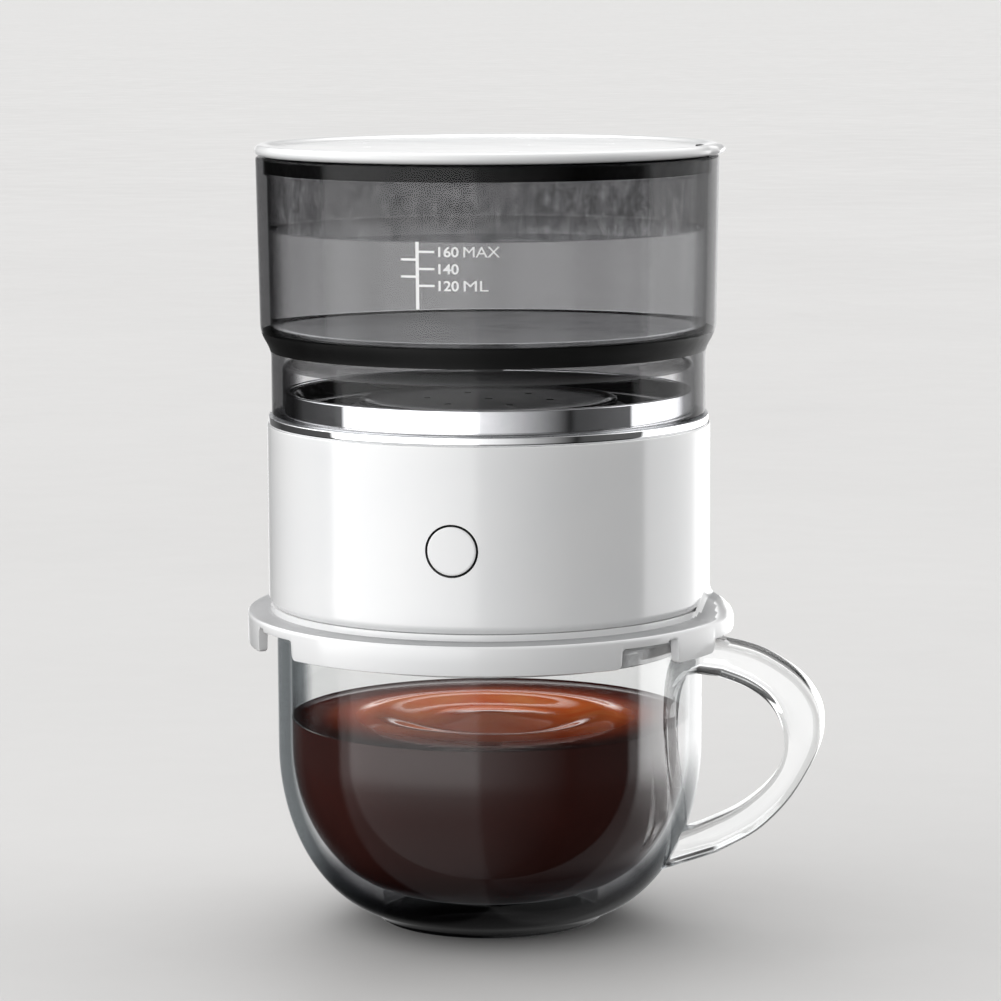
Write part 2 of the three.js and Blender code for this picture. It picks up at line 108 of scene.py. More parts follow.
def spread(profile, longest):
    """The same closed profile with its long edges divided."""
    out = []
    for i, p in enumerate(profile):
        q = profile[(i + 1) % len(profile)]
        parts = max(1, math.ceil((Vector(q) - Vector(p)).length / longest))
        out += [tuple(Vector(p).lerp(Vector(q), k / parts)) for k in range(parts)]
    return out


def ring_mesh(sections, angles):
    """One closed body from a section (r, z) at each angle, in degrees."""
    bm = bmesh.new()
    loops = []
    for section, angle in zip(sections, angles):
        c, s = math.cos(math.radians(angle)), math.sin(math.radians(angle))
        loops.append([bm.verts.new((r * c, r * s, z)) for r, z in section])
    for i, loop in enumerate(loops):
        after = loops[(i + 1) % len(loops)]
        for j in range(len(loop)):
            k = (j + 1) % len(loop)
            bm.faces.new((loop[j], after[j], after[k], loop[k]))
    return bm


def clean(bm):
    """The bmesh with doubled corners and slivers taken out."""
    bmesh.ops.remove_doubles(bm, verts=bm.verts, dist=1e-4)
    bmesh.ops.dissolve_degenerate(bm, edges=bm.edges, dist=1e-5)
    return bm


def turned(name, profile, steps=FINE, sharp=38.0, longest=None):
    """A turned piece from a closed profile, with its rounded corners."""
    section = rounded(profile)
    if longest:
        section = spread(section, longest)
    angles = [360 * i / steps for i in range(steps)]
    return finished(clean(ring_mesh([section] * steps, angles)), name, sharp)


def evaluated(ob, name, sharp=38.0):
    """ob with its modifiers applied, as a new object; ob is removed."""
    bpy.context.view_layer.update()
    depsgraph = bpy.context.evaluated_depsgraph_get()
    mesh = bpy.data.meshes.new_from_object(ob.evaluated_get(depsgraph))
    bpy.data.objects.remove(ob)
    mesh.name = name
    return shaded(mesh, name, sharp)


def cut(ob, cutters, sharp=38.0):
    """ob with each cutter taken away."""
    name = ob.name
    for cutter in cutters:
        mod = ob.modifiers.new("cut", "BOOLEAN")
        mod.operation = "DIFFERENCE"
        mod.solver = "EXACT"
        mod.object = cutter
    done = evaluated(ob, name, sharp)
    for cutter in cutters:
        bpy.data.objects.remove(cutter)
    done.name = name
    return done


def drum(r, z0, z1, at=(0, 0), steps=64, along_y=None):
    """A plain round cutter; with along_y it lies along Y at that height, and z0 and z1 are its ends in Y."""
    bm = bmesh.new()
    ends = []
    for z in (z0, z1):
        ring = []
        for i in range(steps):
            a = 2 * math.pi * i / steps
            x, y = r * math.cos(a), r * math.sin(a)
            if along_y is None:
                ring.append(bm.verts.new((at[0] + x, at[1] + y, z)))
            else:
                ring.append(bm.verts.new((at[0] + x, z, along_y + y)))
        ends.append(ring)
    for i in range(steps):
        k = (i + 1) % steps
        bm.faces.new((ends[0][i], ends[0][k], ends[1][k], ends[1][i]))
    bm.faces.new(ends[0])
    bm.faces.new(ends[1])
    return finished(bm, "cutter")


def slab(name, x0, x1, y0, y1, z0, z1, bevel=0.0):
    """A block with softened edges."""
    bm = bmesh.new()
    bmesh.ops.create_cube(bm, size=1)
    for v in bm.verts:
        v.co = Vector((
            (x0 + x1) / 2 + v.co.x * (x1 - x0),
            (y0 + y1) / 2 + v.co.y * (y1 - y0),
            (z0 + z1) / 2 + v.co.z * (z1 - z0),
        ))
    if bevel:
        bmesh.ops.bevel(bm, geom=bm.edges[:] + bm.verts[:], offset=bevel, segments=4, affect="EDGES", profile=0.5)
    return finished(bm, name)


def refined(node, bevel=0.15):
    """A CAD node's own shape with its edges softened and its round faces shaded smooth, standing for that node."""
    source = frame["nodes"][node]
    mesh = source.data.copy()
    bm = bmesh.new()
    bm.from_mesh(mesh)
    bmesh.ops.remove_doubles(bm, verts=bm.verts, dist=1e-6)
    bmesh.ops.dissolve_limit(bm, angle_limit=math.radians(1), verts=bm.verts, edges=bm.edges)
    bm.to_mesh(mesh)
    bm.free()
    ob = shaded(mesh, node + ".fine", 32)
    mod = ob.modifiers.new("soften", "BEVEL")
    mod.width = bevel * MM
    mod.segments = 2
    mod.limit_method = "ANGLE"
    mod.angle_limit = math.radians(40)
    mod.harden_normals = False
    done = evaluated(ob, node + ".fine", 32)
    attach(done, source["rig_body"])
    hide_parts(node)
    return done


# ---------------------------------------------------------------- materials


class Shade:
    """A material's node tree with its Principled shader, and short ways to add patterns to it."""

    def __init__(self, name, **sockets):
        self.mat = bpy.data.materials.new(name)
        self.mat.use_nodes = True
        self.tree = self.mat.node_tree
        self.tree.nodes.clear()
        self.out = self.node("ShaderNodeOutputMaterial")
        self.bsdf = self.node("ShaderNodeBsdfPrincipled")
        self.link(self.bsdf.outputs[0], self.out.inputs["Surface"])
        for key, value in sockets.items():
            self.bsdf.inputs[key.replace("_", " ")].default_value = value
        self.coords = self.node("ShaderNodeTexCoord").outputs["Object"]

    def node(self, kind, **props):
        """A new node with its properties set."""
        made = self.tree.nodes.new(kind)
        for key, value in props.items():
            setattr(made, key, value)
        return made

    def link(self, a, b):
        """Joins an output to an input."""
        self.tree.links.new(a, b)

    def noise(self, scale, detail=4.0, rough=0.55, stretch=None, distortion=0.0):
        """Fractal noise fixed to the piece, optionally stretched along an axis."""
        made = self.node("ShaderNodeTexNoise")
        made.inputs["Scale"].default_value = scale
        made.inputs["Detail"].default_value = detail
        made.inputs["Roughness"].default_value = rough
        made.inputs["Distortion"].default_value = distortion
        source = self.coords
        if stretch:
            mapping = self.node("ShaderNodeMapping")
            mapping.inputs["Scale"].default_value = stretch
            self.link(self.coords, mapping.inputs["Vector"])
            source = mapping.outputs[0]
        self.link(source, made.inputs["Vector"])
        return made.outputs["Fac"]

    def ramp(self, value, stops):
        """A colour for each value, from (value, colour) stops."""
        made = self.node("ShaderNodeValToRGB")
        ramp = made.color_ramp
        while len(ramp.elements) > 1:
            ramp.elements.remove(ramp.elements[-1])
        for i, (at, colour) in enumerate(stops):
            stop = ramp.elements[0] if i == 0 else ramp.elements.new(at)
            stop.position = at
            stop.color = (*colour, 1)
        self.link(value, made.inputs[0])
        return made.outputs["Color"]

    def remap(self, value, low, high, start=0.3, end=0.7):
        """low where the value is `start`, high where it is `end`."""
        made = self.node("ShaderNodeMapRange")
        for key, number in (("From Min", start), ("From Max", end), ("To Min", low), ("To Max", high)):
            made.inputs[key].default_value = number
        self.link(value, made.inputs["Value"])
        return made.outputs[0]

    def mix(self, factor, a, b, blend="MIX"):
        """Two colours blended; each may be a socket or a constant."""
        made = self.node("ShaderNodeMix", data_type="RGBA", blend_type=blend)
        for value, at in ((factor, 0), (a, 6), (b, 7)):
            if isinstance(value, (int, float)):
                made.inputs[at].default_value = value
            elif isinstance(value, tuple):
                made.inputs[at].default_value = (*value, 1)
            else:
                self.link(value, made.inputs[at])
        return made.outputs[2]

    def height(self):
        """Z in millimetres, in the piece's own frame."""
        parts = self.node("ShaderNodeSeparateXYZ")
        self.link(self.coords, parts.inputs[0])
        scaled = self.node("ShaderNodeMath", operation="MULTIPLY")
        scaled.inputs[1].default_value = 1000
        self.link(parts.outputs["Z"], scaled.inputs[0])
        return scaled.outputs[0]

    def facing(self):
        """0 where the surface faces the viewer, 1 where it is seen edge-on."""
        made = self.node("ShaderNodeLayerWeight")
        made.inputs["Blend"].default_value = 0.5
        return made.outputs["Facing"]

    def colour(self, socket):
        """The surface's colour."""
        self.link(socket, self.bsdf.inputs["Base Color"])

    def roughness(self, socket):
        """The surface's roughness."""
        self.link(socket, self.bsdf.inputs["Roughness"])

    def bump(self, value, strength, distance):
        """Relief from the value, `distance` millimetres deep."""
        made = self.node("ShaderNodeBump")
        made.inputs["Strength"].default_value = strength
        made.inputs["Distance"].default_value = distance * MM
        self.link(value, made.inputs["Height"])
        self.link(made.outputs[0], self.bsdf.inputs["Normal"])

    def lit_through(self, tint):
        """Lamps' light passes straight through, tinted."""
        clear = self.node("ShaderNodeBsdfTransparent")
        clear.inputs[0].default_value = (*tint, 1)
        path = self.node("ShaderNodeLightPath")
        both = self.node("ShaderNodeMixShader")
        self.link(path.outputs["Is Shadow Ray"], both.inputs[0])
        self.link(self.bsdf.outputs[0], both.inputs[1])
        self.link(clear.outputs[0], both.inputs[2])
        self.link(both.outputs[0], self.out.inputs["Surface"])

    def absorbs(self, colour, density):
        """Light is soaked up on its way through the piece."""
        made = self.node("ShaderNodeVolumeAbsorption")
        made.inputs["Color"].default_value = (*colour, 1)
        made.inputs["Density"].default_value = density
        self.link(made.outputs[0], self.out.inputs["Volume"])


def moulded(name, low, high, rough, grain=420.0, bump=0.02, **sockets):
    """Moulded plastic or rubber: faint colour variation, uneven gloss and a fine grain."""
    s = Shade(name, **sockets)
    s.colour(s.ramp(s.noise(38, 5), [(0.35, low), (0.65, high)]))
    s.roughness(s.remap(s.noise(90, 6, 0.65), *rough))
    s.bump(s.noise(grain, 3), 0.25, bump)
    return s.mat


def metal(name, low, high, rough, grain, stretch=None, bump=0.01):
    """Metal with faint streaks or speckle in its colour, gloss and surface."""
    s = Shade(name, Metallic=1.0)
    s.colour(s.ramp(s.noise(grain, 4, 0.6, stretch), [(0.3, low), (0.7, high)]))
    s.roughness(s.remap(s.noise(grain * 1.7, 5, 0.6, stretch), *rough))
    s.bump(s.noise(grain * 2.3, 3, 0.5, stretch), 0.2, bump)
    return s.mat


MIRROR_STEPS = ((0.0, 0.04), (0.5, 0.06), (0.7, 0.13), (0.85, 0.33), (0.95, 0.70), (1.0, 0.95))  # (edge-on, share)
GRAZING_BOOST = 0.45


def clear_wall(name, middle, rim, mirror=1.0, rough=(0.0, 0.03), solid=0.0, body=(0.9, 0.9, 0.9), pattern=None,
               beside=None):
    """A thin clear wall: what is behind shows through it unbent, tinted, and darker where the wall is seen edge-on.

    mirror scales its reflections, solid is how much of it is a solid colour instead, pattern multiplies its tint,
    and beside adds to its reflections.
    """
    s = Shade(name, Metallic=0.0 if solid else 1.0)
    facing = s.facing()
    through = s.ramp(facing, [(0.0, middle), (0.56, middle), (0.68, rim), (1.0, rim)])
    if pattern:
        through = s.mix(1.0, through, pattern(s), "MULTIPLY")
    clear = s.node("ShaderNodeBsdfTransparent")
    s.link(through, clear.inputs[0])
    s.colour(s.ramp(s.noise(45, 4), [(0.3, tuple(0.88 * c for c in body)), (0.7, body)]))
    s.roughness(s.remap(s.noise(130, 5, 0.6), *rough))
    s.bump(s.noise(24, 2), 0.12, 0.04)
    stops = []
    for at, level in MIRROR_STEPS:
        reflected = level * (mirror + GRAZING_BOOST * (1 - mirror) * level)
        stops.append((at, (max(reflected, solid),) * 3))
    share = s.ramp(facing, stops)
    if beside:
        share = s.mix(1.0, share, beside(s), "ADD")
    both = s.node("ShaderNodeMixShader")
    s.link(share, both.inputs[0])
    s.link(clear.outputs[0], both.inputs[1])
    s.link(s.bsdf.outputs[0], both.inputs[2])
    s.link(both.outputs[0], s.out.inputs["Surface"])
    return s.mat


WHITE = moulded(
    "white_gloss", (0.775, 0.78, 0.785), (0.805, 0.805, 0.805), (0.18, 0.25), bump=0.006,
    Coat_Weight=0.7, Coat_IOR=1.55, Coat_Roughness=0.09,
)
# A satin copy of the white, darkened to paint the shade the head casts on the flange's ledge.
WHITE_LEDGE_SHADED = moulded("white_ledge_painted_shade", (0.31, 0.315, 0.32), (0.35, 0.35, 0.355), (0.30, 0.42), bump=0.01)
WHITE_LID = moulded(
    "white_lid", (0.74, 0.745, 0.75), (0.78, 0.78, 0.78), (0.20, 0.28), bump=0.006,
    Coat_Weight=0.25, Coat_IOR=1.5, Coat_Roughness=0.06, Specular_IOR_Level=0.3,
)
BLACK_GLOSS = moulded(
    "black_gloss", (0.003, 0.003, 0.0032), (0.006, 0.006, 0.0065), (0.05, 0.11), bump=0.002,
    Coat_Weight=0.18, Coat_Roughness=0.03, Specular_IOR_Level=0.02,
)
BLACK_INNER = moulded("black_inner", (0.010, 0.010, 0.011), (0.022, 0.022, 0.022), (0.38, 0.60), bump=0.03)
RUBBER = moulded(
    "black_rubber", (0.004, 0.004, 0.004), (0.009, 0.009, 0.009), (0.34, 0.55), bump=0.03, Specular_IOR_Level=0.25,
)
SILICONE = moulded(
    "clear_silicone", (0.62, 0.63, 0.63), (0.74, 0.74, 0.74), (0.40, 0.60), bump=0.02, Subsurface_Weight=0.2,
)
ACETAL = moulded("natural_acetal", (0.66, 0.64, 0.57), (0.76, 0.74, 0.68), (0.32, 0.5), bump=0.02)
BOARD = moulded("board_green", (0.010, 0.10, 0.035), (0.02, 0.16, 0.06), (0.25, 0.5), grain=900, bump=0.03)
CELL_WRAP = moulded("cell_wrap", (0.02, 0.12, 0.36), (0.03, 0.16, 0.46), (0.2, 0.4), bump=0.01, Coat_Weight=0.5)
CHROME = metal("chrome", (0.82, 0.83, 0.84), (0.90, 0.90, 0.91), (0.02, 0.06), 160, bump=0.001)
STEEL = metal("steel", (0.52, 0.53, 0.55), (0.66, 0.67, 0.68), (0.22, 0.40), 240, (1, 1, 14))
MESH_STEEL = metal("mesh_steel", (0.46, 0.47, 0.48), (0.62, 0.62, 0.63), (0.28, 0.45), 500)
INK = moulded("scale_ink", (0.86, 0.86, 0.86), (0.93, 0.93, 0.93), (0.45, 0.6), grain=900, bump=0.01)


def painted_dark_foot(s):
    """Painted shade in the mug's thick foot: its tint is darker low down, standing in for the dark coffee seen
    through it.
    """
    return s.ramp(s.remap(s.height(), 0.0, 1.0, 0.0, 20.0), [
        (0.0, (0.30, 0.30, 0.31)), (0.10, (0.16, 0.16, 0.17)), (0.34, (0.20, 0.20, 0.21)), (0.62, (0.80, 0.80, 0.81)),
        (0.9, (1, 1, 1)),
    ])


def painted_sheen_handle_side(s):
    """Painted sheen: extra shine on the handle's side of the mug, fading out round the wall and towards the foot."""
    parts = s.node("ShaderNodeSeparateXYZ")
    s.link(s.coords, parts.inputs[0])
    near = s.remap(parts.outputs["X"], 0.0, 1.0, 0.033, 0.0425)
    tall = s.remap(s.height(), 0.0, 1.0, 22.0, 40.0)
    both = s.node("ShaderNodeMath", operation="MULTIPLY")
    s.link(near, both.inputs[0])
    s.link(tall, both.inputs[1])
    return s.ramp(both.outputs[0], [(0.0, (0, 0, 0)), (0.5, (0.16, 0.16, 0.16)), (1.0, (0.30, 0.30, 0.30))])


CUP_OUTER = clear_wall(
    "cup_glass", (0.97, 0.975, 0.975), (0.42, 0.44, 0.45), mirror=0.40, pattern=painted_dark_foot, beside=painted_sheen_handle_side,
)
CUP_INNER = clear_wall("cup_glass_inside", (0.985, 0.99, 0.99), (0.45, 0.47, 0.48), mirror=0.4)
WATER_LINE = 145.3  # height of the water in the tank


def misted(s):
    """The tank's inner face: misted and mottled above the water, clearer below it."""
    mottle = s.noise(320, 6, 0.7, (1, 1, 0.6), 0.8)
    misty = s.ramp(mottle, [(0.38, (0.29, 0.29, 0.295)), (0.50, (0.38, 0.38, 0.385)), (0.62, (0.47, 0.47, 0.475))])
    streak = s.noise(60, 3, 0.5, (1, 1, 0.03))
    wet = s.ramp(streak, [(0.3, (0.55, 0.55, 0.555)), (0.7, (0.64, 0.64, 0.645))])
    above = s.remap(s.height(), 0.0, 1.0, WATER_LINE - 0.15, WATER_LINE + 0.15)
    return s.mix(above, wet, misty)


TANK_OUTER = clear_wall("smoked_outside", (0.95, 0.95, 0.955), (0.33, 0.33, 0.335), mirror=0.28)
TANK_INNER = clear_wall("smoked_inside", (1, 1, 1), (0.8, 0.8, 0.8), mirror=0.15, pattern=misted)
TANK_FLOOR = clear_wall(
    "smoked_floor", (0.30, 0.30, 0.305), (0.2, 0.2, 0.2), rough=(0.08, 0.2), solid=0.62, body=(0.60, 0.60, 0.605),
)
# The ledge under the tank's floor: a dark solid share and tint, painted shade for the dark gap there.
TANK_LEDGE_SHADED = clear_wall(
    "smoked_ledge_painted_shade", (0.4, 0.4, 0.405), (0.3, 0.3, 0.3), rough=(0.08, 0.2), solid=0.5, body=(0.13, 0.13, 0.132),
)


def handle_glass():
    """Solid clear glass, which bends what is behind it."""
    s = Shade("handle_glass", Transmission_Weight=1.0, IOR=1.42, Coat_Weight=1.0, Coat_IOR=1.8)
    s.colour(s.ramp(s.noise(50, 3), [(0.3, (0.95, 0.965, 0.97)), (0.7, (0.985, 0.99, 0.99))]))
    s.roughness(s.remap(s.noise(120, 5), 0.0, 0.03))
    s.bump(s.noise(18, 2), 0.2, 0.08)
    s.lit_through((0.92, 0.93, 0.93))
    return s.mat


def coffee_material():
    """The brew's body: dark red-brown, letting a little light through where it is thin."""
    s = Shade("coffee", Transmission_Weight=0.62, IOR=1.33)
    s.colour(s.ramp(s.noise(30, 4), [(0.3, (0.085, 0.024, 0.020)), (0.7, (0.125, 0.038, 0.031))]))
    s.roughness(s.remap(s.noise(80, 4), 0.0, 0.03))
    s.bump(s.noise(70, 3, 0.5, None, 1.2), 0.2, 0.15)
    s.absorbs((0.83, 0.40, 0.1), 360)
    return s.mat


def water_material():
    """Clear water, bending light only a little because the wall beside it does not bend it at all."""
    s = Shade("water", Transmission_Weight=1.0, IOR=1.05, Coat_Weight=0.25, Coat_IOR=1.33, Coat_Roughness=0.0)
    s.colour(s.ramp(s.noise(30, 3), [(0.3, (0.96, 0.965, 0.97)), (0.7, (0.985, 0.985, 0.985))]))
    s.roughness(s.remap(s.noise(60, 3), 0.0, 0.02))
    s.bump(s.noise(40, 2), 0.15, 0.1)
    s.lit_through((0.95, 0.95, 0.95))
    return s.mat


def coffee_top_material():
    """The brew's surface, with a painted amber glow brightest towards the back and lit by its own emission, and
    painted shade darker at its rim.
    """
    # The emission is a painted glow.
    s = Shade("coffee_top", IOR=1.33, Emission_Strength=0.2, Coat_Weight=0.0, Coat_IOR=1.33, Coat_Roughness=0.0)
    swirl = s.ramp(s.noise(46, 5, 0.6, (1, 1, 1), 1.6), [(0.32, (0.92, 0.13, 0.018)), (0.68, (1.0, 0.30, 0.075))])
    reach = s.node("ShaderNodeVectorMath", operation="LENGTH")
    flat = s.node("ShaderNodeVectorMath", operation="MULTIPLY")
    flat.inputs[1].default_value = (1, 1, 0)
    s.link(s.coords, flat.inputs[0])
    s.link(flat.outputs[0], reach.inputs[0])
    # Painted shade: darker towards the wall, a little darker at the centre.
    rim = s.ramp(s.remap(reach.outputs["Value"], 0.0, 1.0, 0.0, 0.0418), [
        (0.0, (0.6, 0.6, 0.6)), (0.35, (0.95, 0.95, 0.95)), (0.64, (1, 1, 1)), (0.74, (0.45, 0.32, 0.28)),
        (0.86, (0.10, 0.05, 0.04)), (1.0, (0.03, 0.01, 0.01)),
    ])
    depth = s.node("ShaderNodeSeparateXYZ")
    s.link(s.coords, depth.inputs[0])
    # Painted glow: dark at the front, brightest towards the back.
    glow = s.ramp(s.remap(depth.outputs["Y"], 0.0, 1.0, -0.034, 0.022), [
        (0.0, (0.10, 0.07, 0.06)), (0.45, (0.42, 0.34, 0.32)), (0.8, (1, 1, 1)), (1.0, (1, 1, 1)),
    ])
    brew = s.mix(1.0, s.mix(1.0, swirl, rim, "MULTIPLY"), glow, "MULTIPLY")
    s.colour(brew)
    s.link(brew, s.bsdf.inputs["Emission Color"])
    s.roughness(s.remap(s.noise(80, 4), 0.02, 0.10))
    s.bump(s.noise(70, 3, 0.5, None, 1.2), 0.25, 0.2)
    return s.mat


HANDLE_GLASS = handle_glass()
COFFEE = coffee_material()
COFFEE_TOP = coffee_top_material()
WATER = water_material()


def dress(ob, *mats, pick=None):
    """Gives the piece its materials; pick(centre, normal) says which one a face takes."""
    ob.data.materials.clear()
    for mat in mats:
        ob.data.materials.append(mat)
    for face in ob.data.polygons:
        face.material_index = pick(face.center / MM, face.normal) if pick else 0
    return ob


def piece(ob, body, slot, *nodes):
    """Puts the piece on a body, in the place of the CAD nodes; slot is not used."""
    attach(ob, body)
    if nodes:
        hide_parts(*nodes)
    return ob


def faces_axis(centre, normal):
    """1 on faces that look towards the centre line or up from the bottom, 0 on outside ones."""
    outward = Vector((centre.x, centre.y, 0))
    if outward.length < 1e-6:
        return 1 if normal.z > 0 else 0
    lean = normal.dot(outward.normalized())
    return 1 if lean < -0.15 or (normal.z > 0.5 and lean < 0.15) else 0


# ---------------------------------------------------------------- glass mug

CUP_R = 44.6
CUP_RIM_Z = 62.4
CUP_INNER_R = 41.7
CUP_FOOT_R = 24.2
BOWL_Z = 37.0
BASE_Z = 6.5


BOWL_STEP = 3  # degrees from one point of the bowl's curve to the next


def bowl_outside():
    """The mug's outside from its foot up, as a profile."""
    out = [(0, 0.5), (19.5, 0.3), (21.5, 0, 0.8), (CUP_FOOT_R - 0.7, 0, 0.5), (CUP_FOOT_R, 0.9, 0.6)]
    for t in range(15, 91, BOWL_STEP):
        a = math.radians(t)
        out.append((20 + (CUP_R - 20) * math.sin(a), BOWL_Z - (BOWL_Z - 1) * math.cos(a)))
    return out


def bowl_inside(grow=0.0):
    """The mug's inside from its straight wall down, as a profile, grown outwards a little for what fills it."""
    out = []
    for t in range(90, 0, -BOWL_STEP):
        a = math.radians(t)
        out.append((18 * min(1, t / 12) + (CUP_INNER_R + grow - 18) * math.sin(a),
                    BOWL_Z - (BOWL_Z - BASE_Z + grow) * math.cos(a)))
    return out


def glass_cup():
    """The mug, with its rim rounded over."""
    rim = [(CUP_R, CUP_RIM_Z, 1.3), (CUP_INNER_R, CUP_RIM_Z, 1.3)]
    profile = bowl_outside() + rim + bowl_inside() + [(0, BASE_Z)]
    ob = turned("mug_glass", profile, sharp=60)
    dress(ob, CUP_OUTER, CUP_INNER, pick=faces_axis)
    return piece(ob, "mug", "glass", "glass_cup")


CURVE_STEPS = 8  # points made for each point given
BEVEL_STEPS = 5


def catmull(points):
    """A smooth line through the points."""
    pts = [Vector(p) for p in points]
    out = []
    for i in range(len(pts) - 1):
        a = pts[max(i - 1, 0)]
        b, c = pts[i], pts[i + 1]
        d = pts[min(i + 2, len(pts) - 1)]
        for k in range(CURVE_STEPS):
            t = k / CURVE_STEPS
            out.append(0.5 * (
                2 * b + (c - a) * t + (2 * a - 5 * b + 4 * c - d) * t * t + (3 * b - a - 3 * c + d) * t ** 3
            ))
    out.append(pts[-1])
    return out


def outline_solid(name, outline, half, bevel):
    """A flat outline (x, z) made `half` deep to each side of Y = 0, with rounded edges."""
    curve = bpy.data.curves.new(name, "CURVE")
    curve.dimensions = "2D"
    curve.fill_mode = "BOTH"
    curve.extrude = (half - bevel) * MM
    curve.bevel_depth = bevel * MM
    curve.bevel_resolution = BEVEL_STEPS
    curve.offset = -bevel * MM
    line = curve.splines.new("POLY")
    line.points.add(len(outline) - 1)
    for point, (x, z) in zip(line.points, outline):
        point.co = (x * MM, z * MM, 0, 1)
    line.use_cyclic_u = True
    ob = bpy.data.objects.new(name, curve)
    bpy.context.scene.collection.objects.link(ob)
    done = evaluated(ob, name)
    done.data.transform(Matrix.Rotation(math.radians(90), 4, "X"))
    bm = bmesh.new()
    bm.from_mesh(done.data)
    bmesh.ops.remove_doubles(bm, verts=bm.verts, dist=1e-6)
    bmesh.ops.recalc_face_normals(bm, faces=bm.faces)
    bm.to_mesh(done.data)
    bm.free()
    return done


def cup_handle():
    """The glass strap, its ends shaped to the mug's wall."""
    outer = catmull([(46, 60.6), (53, 59.4), (59, 57.4), (65.5, 53.2), (69.3, 48.2), (70.4, 43), (69.2, 36.8),
                     (64.2, 27.8), (57, 20.3), (48.5, 15.4)])
    inner = catmull([(44.6, 20.8), (52.4, 24.7), (58.6, 29.8), (62, 35.2), (62.6, 41.2), (59.8, 47), (55, 50.6),
                     (49, 52.8)])
    outline = [(37, 61)] + [tuple(p) for p in outer] + [(36, 11)]
    outline += [(36, 17.5)] + [tuple(p) for p in inner] + [(37, 54)]
    strap = outline_solid("mug_handle", outline, 5, 1.6)
    bowl = turned("cutter", [(0, -1)] + [(r - 0.25, z) for r, z in
                  rounded(bowl_outside()[3:], closed=False)] + [(CUP_R - 0.25, 70), (0, 70)], 128)
    strap = cut(strap, [bowl], sharp=50)
    dress(strap, HANDLE_GLASS)
    return piece(strap, "mug", "glass", "cup_handle")


COFFEE_Z = 42.2  # level of the brew in the mug


def coffee():
    """The brew in the mug: a body with a rippled top that climbs a little where it meets the glass."""
    edge = CUP_INNER_R + 0.08
    top = []
    for i in range(57):
        r = edge * (1 - i / 56)
        ring = 0.95 * math.exp(-((r - 24.0) / 4.2) ** 2) - 0.50 * math.exp(-((r - 15.5) / 4.2) ** 2)
        ring += 1.0 * math.exp(-(r / 7.0) ** 2)
        climb = 0.75 * math.exp(-(edge - r) / 0.7)
        top.append((r, COFFEE_Z + ring + climb))
    side = [(r, z) for r, z in bowl_inside(0.08) if z < COFFEE_Z - 0.5]
    bottom = [(0, BASE_Z - 0.08)]
    profile = [(edge, COFFEE_Z - 2)] + side + bottom + top[::-1]
    ob = turned("coffee", profile, sharp=80)
    for v in ob.data.vertices:
        if v.co.z > (COFFEE_Z - 1) * MM:
            a = math.atan2(v.co.y, v.co.x)
            r = v.co.xy.length / MM
            sway = math.sin(3 * a + 0.8) * 0.16 + math.sin(2 * a - 1.1 + r * 0.12) * 0.12
            v.co.z += sway * MM * math.exp(-((r - 18) / 9) ** 2)
    dress(ob, COFFEE, COFFEE_TOP, pick=lambda c, n: 1 if n.z > 0.6 and c.z > COFFEE_Z - 2 else 0)
    return piece(ob, "mug", "glass")


# ---------------------------------------------------------------- brew head

LEDGE_Z = 65.9
PLATE_Z = 63.8
DEEP_Z = 59.8  # lower edge of the deep front and rear skirts
HOOK_Z = 59.3
SLOT_TOP = 64.4
FLANGE_R = 50.7
SKIRT_IN = 48.8
SHELL_R = 46.2
SHELL_TOP = 105
POST_ARM = 37.2
POSTS_AT = (50, 130, 225, 315)


def lower_edge():
    """How low the flange's outer wall hangs, as (degrees, z) going once round, with rounded corners."""
    mm_per_degree = FLANGE_R * math.radians(1)
    slant = 0.12  # half the width of each step, round the wall
    line = []
    for centre in (90, 270):
        for side in (-1, 1):
            beside_handle = (centre + 90 * side) % 360 == 0
            steps = [  # degrees from the centre, the heights before and after, and their roundings
                (41.9, DEEP_Z, PLATE_Z, 1.0, 1.0),
                (56.0, PLATE_Z, SLOT_TOP, 0.1, 0.8),
                (59.2, SLOT_TOP, HOOK_Z, 0.8, 0.7),
                (76.0, HOOK_Z, 62.0, 1.2, 3.2) if beside_handle else (76.5, HOOK_Z, PLATE_Z, 0.8, 0.9),
            ]
            for at, z0, z1, near, far in steps:
                where = (centre + side * at) * mm_per_degree
                line.append((where - side * slant, z0, near))
                line.append((where + side * slant, z1, far))
    line.sort(key=lambda p: p[0])
    smooth = rounded(line, 5, closed=False)
    return [(s / mm_per_degree, z) for s, z in smooth]


def shoulder_share(angle):
    """1 beside the handle, falling smoothly to 0 away from it."""
    off = abs((angle + 180) % 360 - 180)
    t = min(max((16.0 - off) / 12.0, 0), 1)
    return t * t * (3 - 2 * t)


